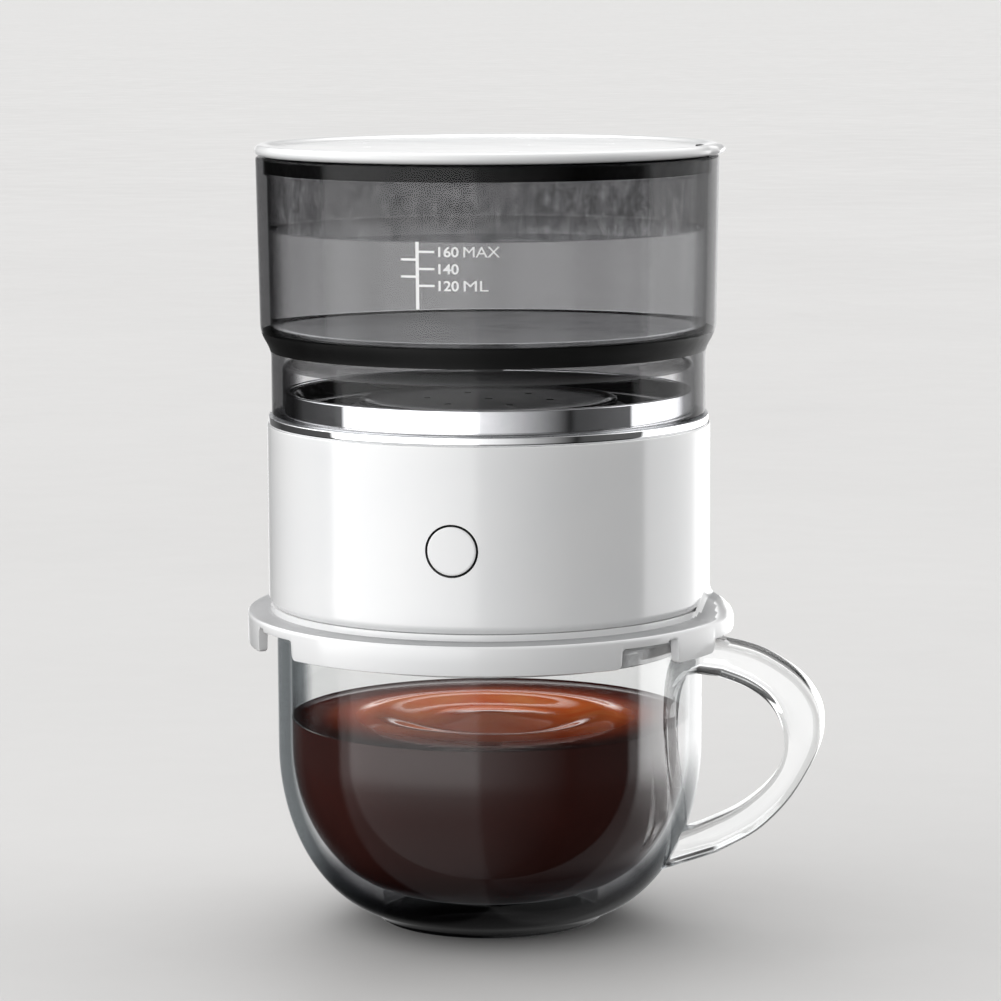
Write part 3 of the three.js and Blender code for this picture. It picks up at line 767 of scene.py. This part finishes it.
def base_flange():
    """The white flange: ledge, skirts and hooks, with the shoulder beside the handle and four screw holes."""
    edge = lower_edge()
    start, end = edge[0][0], edge[-1][0]
    angles = [round(a, 4) for a, _ in edge]
    fine, coarse = 400, 60  # steps along the stepped edge, and along the plain rest
    angles += [round(start + i * (end - start) / fine, 4) for i in range(fine + 1)]
    angles += [end + i * (start + 360 - end) / coarse for i in range(1, coarse)]
    angles = sorted(set(angles))

    def low_at(angle):
        """The height of the lower edge at the angle."""
        if angle >= end or angle <= start:
            return edge[-1][1]
        for (a0, z0), (a1, z1) in zip(edge, edge[1:]):
            if a0 <= angle <= a1:
                return z0 + (z1 - z0) * (angle - a0) / max(a1 - a0, 1e-9)
        return edge[-1][1]

    ledge = [(FLANGE_R, 64.9), (FLANGE_R, 65.25), (50.62, 65.6), (50.4, 65.82), (50.05, LEDGE_Z), (49.4, LEDGE_Z),
             (48.6, LEDGE_Z), (47.8, LEDGE_Z), (47.0, LEDGE_Z), (46.5, LEDGE_Z), (46.2, 65.95), (45.9, 66.1)]
    shoulder = [(51.3, 63.6), (51.25, 64.6), (50.9, 65.6), (50.3, 66.5), (49.6, 67.4), (49.0, 68.1), (48.3, 68.65),
                (47.6, 69.05), (46.95, 69.5), (46.5, 70.2), (46.25, 71.1), (46.05, 72.0)]
    inside = [(45.9, 67.38), (34, 67.38), (34, 66.2), (30.7, 66.2), (30.7, PLATE_Z), (39.4, PLATE_Z),
              (39.8, PLATE_Z - 0.3), (39.8, 58.0), (40.0, 57.8), (40.7, 57.8), (40.9, 58.0), (40.9, PLATE_Z - 0.3),
              (41.2, PLATE_Z)]
    sections = []
    for angle in angles:
        low = low_at(angle)
        share = shoulder_share(angle)
        reach = FLANGE_R + 0.6 * share
        outer = [(SKIRT_IN - 0.1, PLATE_Z), (SKIRT_IN, min(PLATE_Z, low + 0.3)), (SKIRT_IN + 0.3, low),
                 (reach - 0.35, low), (reach - 0.1, low + 0.1), (reach, low + 0.4)]
        top = [tuple(Vector(a).lerp(Vector(b), share)) for a, b in zip(ledge, shoulder)]
        sections.append(outer + top + inside)
    ob = finished(clean(ring_mesh(sections, angles)), "flange", 42)
    cutters = []
    for at in POSTS_AT:
        place = (POST_ARM * math.cos(math.radians(at)), POST_ARM * math.sin(math.radians(at)))
        cutters += [drum(1.3, 60, 70, place, 24), drum(2.7, 60, 65.3, place, 24)]
    ob = cut(ob, cutters, sharp=42)

    def pick(centre, normal):
        """The ledge's flat top takes a satin white darkened with painted shade, the rest glossy."""
        return 1 if normal.z > 0.8 and centre.z > 65.7 and 45.5 < centre.xy.length < 50.3 else 0

    dress(ob, WHITE, WHITE_LEDGE_SHADED, pick=pick)
    return piece(ob, "brew_head", "white_shell", "base_flange")


BUTTON_X = 0.9
BUTTON_Z = 84.2
BUTTON_HOLE_R = 5.35


def body_shell():
    """The white sleeve with its button hole and charging port."""
    ob = turned("sleeve", [
        (44.2, 67.4, 0.2), (45.3, 67.4, 0.3), (SHELL_R, 68.5, 0.6), (SHELL_R, SHELL_TOP, 0.22),
        (44.2, SHELL_TOP, 0.2),
    ], 240, longest=3.0)
    hole = drum(BUTTON_HOLE_R, -50, -40, (BUTTON_X, 0), 96, BUTTON_Z)
    port = slab("cutter", -4.9, 4.9, 40, 50, 73, 77, 1.0)
    ob = cut(ob, [hole, port])
    dress(ob, WHITE)
    return piece(ob, "brew_head", "white_shell", "body_shell")


def power_button():
    """The round cap, curved to follow the sleeve, its sides and flange dark rubber, painted shade for the gap round
    it.
    """
    face_r = SHELL_R - 0.05
    flange_y = -43.1
    bm = bmesh.new()
    steps = 96
    rings = []
    path = [(0.02, 0.0), (1.2, 0.0), (2.4, 0.0), (3.6, 0.0), (4.4, 0.0), (4.72, 0.0), (4.88, 0.05), (4.96, 0.14),
            (5.0, 0.3), (5.0, 3.0)]
    for r, sunk in path:
        ring = []
        for i in range(steps):
            a = 2 * math.pi * i / steps
            x, z = BUTTON_X + r * math.cos(a), r * math.sin(a)
            y = -math.sqrt(face_r ** 2 - x * x) + sunk
            ring.append(bm.verts.new((x, max(y, -face_r) if sunk < 3 else flange_y, BUTTON_Z + z)))
        rings.append(ring)
    for r, y in ((6.2, flange_y), (6.2, flange_y + 1), (0.02, flange_y + 1)):
        ring = []
        for i in range(steps):
            a = 2 * math.pi * i / steps
            ring.append(bm.verts.new((BUTTON_X + r * math.cos(a), y, BUTTON_Z + r * math.sin(a))))
        rings.append(ring)
    for a, b in zip(rings, rings[1:]):
        for i in range(steps):
            k = (i + 1) % steps
            bm.faces.new((a[i], a[k], b[k], b[i]))
    bm.faces.new(rings[0])
    bm.faces.new(rings[-1])
    ob = finished(bm, "button_cap", 40)

    def pick(centre, normal):
        """The cap's face is white; its sides and flange dark, painted shade in the gap."""
        off = Vector((centre.x - BUTTON_X, centre.z - BUTTON_Z)).length
        return 0 if off < 4.9 and centre.y < -45 else 1

    dress(ob, WHITE, RUBBER, pick=pick)
    return piece(ob, "button", "white_shell", "power_button")


def head_details():
    """The two-tier steel rim, and the gasket between the head and the mug."""
    ring = turned("steel_rim", [
        (41.5, 105.02), (45.7, 105.02), (45.85, 105.4, 0.2), (45.85, 106.8, 0.2), (42.6, 106.8, 0.15),
        (42.5, 107.0, 0.1), (42.5, 111.8, 0.28), (41.5, 111.8, 0.28),
    ])
    dress(ring, CHROME, STEEL, pick=lambda c, n: 1 if n.z > 0.7 and c.z < 108 else 0)
    piece(ring, "brew_head", "steel", "chrome_ring")
    gasket = turned("mug_gasket", [(41.4, 62.7, 0.3), (45, 62.7, 0.3), (45, 63.5, 0.2), (41.4, 63.5, 0.2)])
    dress(gasket, SILICONE)
    piece(gasket, "brew_head", "clear_silicone", "cup_gasket")


# ---------------------------------------------------------------- dripper


def dripper_parts():
    """The black dish, and the spray plate with its seven holes."""
    dish = turned("dish", [
        (28.2, 105.3, 0.3), (41.1, 105.3, 0.4), (41.1, 111.4, 0.3), (40.3, 111.4, 0.3), (39, 108.2, 1.6),
        (34, 106.7, 2.0), (28.2, 106.6, 0.3),
    ])
    dress(dish, BLACK_GLOSS)
    piece(dish, "dripper", "black_plastic", "dripper_dish")
    plate = turned("spray_disc", [
        (0, 109.0), (27, 109.0, 0.45), (27, 110.0, 0.5), (25.6, 110.0, 0.5), (24.6, 109.7, 0.6), (0, 109.7),
    ], longest=4.0)
    holes = [drum(1.1, 105, 112, (0, 0), 24)]
    for i in range(6):
        a = math.radians(60 * i)
        holes.append(drum(1.1, 105, 112, (13 * math.cos(a), 13 * math.sin(a)), 24))
    plate = cut(plate, holes)
    dress(plate, BLACK_GLOSS)
    piece(plate, "basket", "black_plastic", "spray_plate")


# ---------------------------------------------------------------- water tank


def tank_wall(z):
    """The tank's outer radius at a height above its chamfer."""
    return 47.4 + (z - 124.3) * 0.6 / 36.1


def water_tank():
    """The smoked tank, its floor, and the black seal round its foot."""
    ob = turned("tank_shell", [
        (42.9, 107.1, 0.4), (45.2, 107.1, 0.5), (45.2, 120.4, 1.6), (47.4, 124.3, 1.8), (48, 160.4, 0.5),
        (46.5, 160.4, 0.3), (46.4, 156.8, 0.15), (45.7, 156.6, 0.3), (45.3, 124.9, 1.2), (43.4, 120.4, 0.5),
        (40.2, 120.4, 0.3), (40.2, 118.9, 0.5), (42.9, 117.4, 1.2),
    ])

    def pick(centre, normal):
        """Outside and inside clear; the chamfer black, painted dark for the seal seen through it; the ledge under the
        floor darker with painted shade.
        """
        if centre.z > 124.6:
            return faces_axis(centre, normal)
        # The chamfer takes the black rubber: painted dark for the seal seen through it.
        if centre.z > 120.6:
            return 3
        return 2 if 117 < centre.z < 121 and centre.xy.length < 44.6 else 0

    dress(ob, TANK_OUTER, TANK_INNER, TANK_LEDGE_SHADED, RUBBER, pick=pick)
    piece(ob, "water_tank", "smoked_plastic", "tank")
    floor = turned("tank_base", [
        (3.6, 120.7, 0.3), (41, 120.7, 0.4), (41, 124.1, 0.4), (40.3, 124.1, 0.3), (39.6, 122.5, 0.5),
        (3.6, 122.3, 0.4),
    ])
    # The floor's outer rim takes the ledge's painted shade.
    dress(floor, TANK_FLOOR, TANK_LEDGE_SHADED, pick=lambda c, n: 1 if c.xy.length > 39.7 else 0)
    piece(floor, "water_tank", "smoked_plastic", "tank_floor")
    seal = turned("base_seal", [(41.4, 120.7, 0.2), (43.1, 120.6, 0.2), (44.75, 124.2, 0.2), (43.7, 124.3, 0.2)])
    dress(seal, RUBBER)
    piece(seal, "water_tank", "black_rubber", "floor_seal")


def water():
    """The water in the tank, its edge climbing a little at the wall."""
    top = WATER_LINE
    wall = 45.2
    profile = [(0, 125.1), (41, 125.1, 0.4), (wall - 0.25, 125.3, 0.3), (wall, top - 1.2), (wall, top + 0.25),
               (wall - 0.5, top + 0.05), (wall - 1.4, top), (0, top)]
    ob = turned("tank_water", profile, sharp=50)
    dress(ob, WATER)
    return piece(ob, "water_tank", "glass")


def printed(name, parts):
    """White marks on the tank's front: each part is a mesh whose x runs round the wall from straight ahead."""
    bm = bmesh.new()
    for mesh in parts:
        bm.from_mesh(mesh)
    for v in bm.verts:
        x, z, out = v.co
        r = tank_wall(z) + 0.012 + out
        a = math.radians(FRONT) + x / 47.7
        v.co = (r * math.cos(a), r * math.sin(a), z)
    ob = finished(bm, name, 60)
    dress(ob, INK)
    return piece(ob, "water_tank", "white_shell")


INK_THICK = 0.04


def bar(x0, x1, z0, z1):
    """A printed line, divided so that it can bend round the wall."""
    bm = bmesh.new()
    steps = max(1, math.ceil((x1 - x0) / 0.6))
    rows = []
    for i in range(steps + 1):
        x = x0 + (x1 - x0) * i / steps
        rows.append([bm.verts.new(p) for p in ((x, z0, 0), (x, z1, 0), (x, z1, INK_THICK), (x, z0, INK_THICK))])
    for a, b in zip(rows, rows[1:]):
        for i in range(4):
            k = (i + 1) % 4
            bm.faces.new((a[i], b[i], b[k], a[k]))
    bm.faces.new(rows[0])
    bm.faces.new(rows[-1])
    mesh = bpy.data.meshes.new("bar")
    bm.to_mesh(mesh)
    bm.free()
    return mesh


def lettering(text, x0, x1, z, tall, weight):
    """Raised letters filling x0 to x1, centred on the height z."""
    curve = bpy.data.curves.new("letters", "FONT")
    curve.body = text
    curve.size = 1.0
    curve.offset = weight
    curve.extrude = 0.5
    ob = bpy.data.objects.new("letters", curve)
    bpy.context.scene.collection.objects.link(ob)
    done = evaluated(ob, "letters")
    mesh = done.data
    bpy.data.objects.remove(done)
    xs = [v.co.x for v in mesh.vertices]
    ys = [v.co.y for v in mesh.vertices]
    wide, high = max(xs) - min(xs), max(ys) - min(ys)
    left, low = min(xs), min(ys)
    for v in mesh.vertices:
        v.co = (
            x0 + (v.co.x - left) / wide * (x1 - x0),
            z - tall / 2 + (v.co.y - low) / high * tall,
            INK_THICK if v.co.z > 0 else 0.0,
        )
    return mesh


def scale():
    """The level scale: an upright line, short bars, and numbers in millilitres."""
    per_degree = 47.7 * math.radians(1)
    middle = -6.4 * per_degree
    marks = [bar(middle - 0.33, middle + 0.33, 132.3, 145.6)]
    for z in (143.65, 140.28, 136.97):
        marks.append(bar(middle, -2.2 * per_degree, z - 0.22, z + 0.22))
    for z in (142.1, 138.75):
        marks.append(bar(-10.5 * per_degree, middle, z - 0.22, z + 0.22))
    rows = (("160", "MAX", 13.3, 143.65), ("140", "", 0, 140.28), ("120", "ML", 10.6, 136.97))
    for number, unit, unit_end, z in rows:
        marks.append(lettering(number, -1.25 * per_degree, 3.6 * per_degree, z, 2.05, 0.018))
        if unit:
            marks.append(lettering(unit, 4.75 * per_degree, unit_end * per_degree, z, 2.05, 0.0))
    printed("level_scale", marks)


# ---------------------------------------------------------------- lid


VENT_ARM = 44.3


def lid():
    """The lid with its shallow dish, raised rim, pull tab and vent, and its seal."""
    steps = 360
    angles = list(range(steps))
    profile = rounded([
        (0, 161), (41, 161, 0.2), (41, 157.6, 0.2), (42.8, 157.6, 0.3), (42.8, 160.7, 0.15), (47.5, 160.7, 0.25),
        (48.2, 161.3, 0.5), (48.2, 162.2, 0.5), (47.5, 162.9, 0.5), (46, 162.9, 0.8), (43.6, 162.2, 1.6), (0, 162.2),
    ])
    sections = []
    for angle in angles:
        off = abs((angle + 180) % 360 - 180)
        t = min(max((9.5 - off) / 4.5, 0), 1)
        share = t * t * (3 - 2 * t)
        section = []
        for r, z in profile:
            if r > 46.8 and z > 160.6:
                grow = (r - 46.8) / 1.4
                section.append((r + 1.05 * share * grow, z))
            else:
                section.append((r, z))
        sections.append(section)
    ob = finished(clean(ring_mesh(sections, angles)), "lid_cover", 42)
    vent = drum(0.9, 150, 170, (VENT_ARM, 0), 32)
    ob = cut(ob, [vent], sharp=42)
    dress(ob, WHITE_LID)
    piece(ob, "top_lid", "white_lid", "lid")
    lip = turned("vent_lip", [(0.45, 161.6, 0.1), (0.88, 161.6, 0.1), (0.88, 162.75, 0.25), (0.45, 162.75, 0.15)], 32)
    lip.data.transform(Matrix.Translation((VENT_ARM * MM, 0, 0)))
    dress(lip, RUBBER)
    piece(lip, "top_lid", "black_rubber")
    seal = turned("lid_gasket", [(43.1, 157.1, 0.4), (46.1, 157.1, 0.4), (46.1, 160.4, 0.3), (43.1, 160.4, 0.2)])
    slot = slab("cutter", 40, 50, -1.5, 1.5, 150, 170)
    seal = cut(seal, [slot])
    dress(seal, RUBBER)
    piece(seal, "top_lid", "black_rubber", "lid_seal")


# ---------------------------------------------------------------- everything else

SCREWS = ["base_screw_1", "base_screw_2", "base_screw_3", "base_screw_4", "motor_screw_1", "motor_screw_2"]
INNER = [
    (BLACK_INNER, "black_inner", ["chassis", "drip_funnel", "battery_cradle", "tact_switch", "switch_plunger"]),
    (BLACK_INNER, "black_plastic", ["filter_basket"]),
    (STEEL, "inner_steel", ["motor", "motor_mount", "motor_shaft", "charge_socket"] + SCREWS),
    (MESH_STEEL, "mesh_steel", ["filter_mesh", "outlet_strainer"]),
    (ACETAL, "natural_acetal", ["slip_ring", "drive_pinion", "drive_gear"]),
    (BOARD, "board", ["circuit_board", "socket_board"]),
    (CELL_WRAP, "cell_wrap", ["battery_cell_1", "battery_cell_2"]),
    (RUBBER, "black_rubber", ["button_seal", "drip_outlet"]),
    (SILICONE, "clear_silicone", ["port_plug"]),
]


def inner_parts():
    """The pieces inside the head, as softened copies of their CAD shapes."""
    for mat, slot, nodes in INNER:
        for node in nodes:
            ob = refined(node, 0.4 if node == "port_plug" else 0.12)
            dress(ob, mat)


# ---------------------------------------------------------------- studio

AZIMUTH = math.radians(10.3)  # the camera stands this far towards the handle's side
CAMERA_FAR = 0.8112
CAMERA_HIGH = 0.1976
CAMERA_ASIDE = 0.00242
PITCH = math.radians(7.68)
ROLL = math.radians(-0.249)


def camera():
    """A long lens slightly above and to the right of straight ahead."""
    data = bpy.data.cameras.new("camera")
    data.sensor_width = 36
    data.lens = 140.5
    data.clip_start = 0.01
    data.clip_end = 200
    ob = bpy.data.objects.new("camera", data)
    bpy.context.scene.collection.objects.link(ob)
    c, s = math.cos(AZIMUTH), math.sin(AZIMUTH)
    where = Vector((CAMERA_ASIDE * c + CAMERA_FAR * s, CAMERA_ASIDE * s - CAMERA_FAR * c, CAMERA_HIGH))
    turn = Euler((math.radians(90) - PITCH, 0, AZIMUTH)).to_matrix() @ Matrix.Rotation(ROLL, 3, "Z")
    ob.matrix_world = Matrix.Translation(where) @ turn.to_4x4()
    bpy.context.scene.camera = ob


def floor():
    """A plain pale floor that the object stands on."""
    bm = bmesh.new()
    bmesh.ops.create_grid(bm, x_segments=8, y_segments=8, size=60)
    mesh = bpy.data.meshes.new("floor")
    bm.to_mesh(mesh)
    bm.free()
    ob = bpy.data.objects.new("floor", mesh)
    bpy.context.scene.collection.objects.link(ob)
    ob.location.z = -0.0002
    s = Shade("floor", Roughness=0.6)
    s.colour(s.ramp(s.noise(3, 4), [(0.3, (0.445, 0.44, 0.435)), (0.7, (0.465, 0.46, 0.455))]))
    s.roughness(s.remap(s.noise(20, 4), 0.5, 0.7))
    s.bump(s.noise(400, 3), 0.1, 0.05)
    dress(ob, s.mat)
    ob.visible_glossy = False
    ob.visible_diffuse = False


STUDIO_STRENGTH = 2.6


def studio_light():
    """Softboxes all round, as a world: a wide one on the left, a dark gap right of centre, a bright one right."""
    world = bpy.data.worlds.new("studio")
    bpy.context.scene.world = world
    world.use_nodes = True
    tree = world.node_tree
    tree.nodes.clear()
    out = tree.nodes.new("ShaderNodeOutputWorld")
    back = tree.nodes.new("ShaderNodeBackground")
    coords = tree.nodes.new("ShaderNodeTexCoord")

    def dot(vector):
        """How far the view direction points along the vector."""
        made = tree.nodes.new("ShaderNodeVectorMath")
        made.operation = "DOT_PRODUCT"
        made.inputs[1].default_value = vector
        tree.links.new(coords.outputs["Generated"], made.inputs[0])
        return made.outputs["Value"]

    def math_node(operation, a, b):
        """a and b combined; each may be a socket or a number."""
        made = tree.nodes.new("ShaderNodeMath")
        made.operation = operation
        for value, at in ((a, 0), (b, 1)):
            if isinstance(value, (int, float)):
                made.inputs[at].default_value = value
            else:
                tree.links.new(value, made.inputs[at])
        return made.outputs[0]

    def ramp(value, stops):
        """A grey level for each value."""
        made = tree.nodes.new("ShaderNodeValToRGB")
        elements = made.color_ramp.elements
        while len(elements) > 1:
            elements.remove(elements[-1])
        for i, (at, level) in enumerate(stops):
            stop = elements[0] if i == 0 else elements.new(at)
            stop.position = at
            stop.color = (level, level, level, 1)
        tree.links.new(value, made.inputs[0])
        return made.outputs["Color"]

    c, s = math.cos(AZIMUTH), math.sin(AZIMUTH)
    right = dot((c, s, 0))
    towards = dot((s, -c, 0))
    round_about = math_node("ARCTAN2", right, towards)
    share = math_node("ADD", math_node("DIVIDE", round_about, 2 * math.pi), 0.5)

    def at(degrees):
        """The place in a ramp of a direction round the object, with the camera's side at 0."""
        return degrees / 360 + 0.5

    low = ramp(share, [
        (at(-180), 0.45), (at(-170), 0.40), (at(-162), 0.08), (at(-138), 0.02), (at(-90), 0.04), (at(-86), 0.95),
        (at(-50), 1.0), (at(-8), 0.95), (at(-4), 0.45), (at(20), 0.21), (at(46), 0.008), (at(50), 0.03),
        (at(86), 0.05), (at(89), 0.85), (at(130), 0.75), (at(136), 1.0), (at(164), 1.0), (at(172), 0.5),
        (at(179.9), 0.45),
    ])
    high = ramp(share, [
        (at(-180), 0.004), (at(-150), 0.004), (at(-128), 0.3), (at(-105), 1.0), (at(-60), 1.15), (at(-25), 0.95),
        (at(-5), 0.35), (at(20), 0.06), (at(64), 0.06), (at(82), 0.80), (at(125), 0.75), (at(145), 0.004),
        (at(179.9), 0.004),
    ])
    top = ramp(share, [
        (at(-180), 1.05), (at(-110), 1.0), (at(-60), 0.6), (at(0), 0.2), (at(60), 0.15), (at(110), 0.8),
        (at(179.9), 1.05),
    ])
    level = dot((0, 0, 1))

    def between(start, end, below, above):
        """One pattern below the height `start` of the direction, changing to another by `end`."""
        lift = tree.nodes.new("ShaderNodeMapRange")
        lift.inputs["From Min"].default_value = start
        lift.inputs["From Max"].default_value = end
        tree.links.new(level, lift.inputs["Value"])
        both = tree.nodes.new("ShaderNodeMix")
        both.data_type = "RGBA"
        tree.links.new(lift.outputs[0], both.inputs[0])
        tree.links.new(below, both.inputs[6])
        tree.links.new(above, both.inputs[7])
        return both.outputs[2]

    bands = between(0.30, 0.50, between(0.040, 0.110, low, high), top)
    up = ramp(math_node("ADD", math_node("MULTIPLY", level, 0.5), 0.5), [
        (0.0, 0.20), (0.25, 0.22), (0.34, 0.40), (0.40, 1.0), (0.80, 1.0), (0.92, 0.9), (1.0, 0.9),
    ])
    product = tree.nodes.new("ShaderNodeMix")
    product.data_type = "RGBA"
    product.blend_type = "MULTIPLY"
    product.inputs[0].default_value = 1.0
    tree.links.new(bands, product.inputs[6])
    tree.links.new(up, product.inputs[7])
    tree.links.new(product.outputs[2], back.inputs["Color"])
    back.inputs["Strength"].default_value = STUDIO_STRENGTH
    tree.links.new(back.outputs[0], out.inputs["Surface"])


def main():
    """Builds every piece, then the studio round them."""
    glass_cup()
    cup_handle()
    coffee()
    base_flange()
    body_shell()
    power_button()
    head_details()
    dripper_parts()
    water_tank()
    water()
    scale()
    lid()
    inner_parts()
    camera()
    floor()
    studio_light()
    bpy.context.scene.view_settings.view_transform = "Standard"


main()
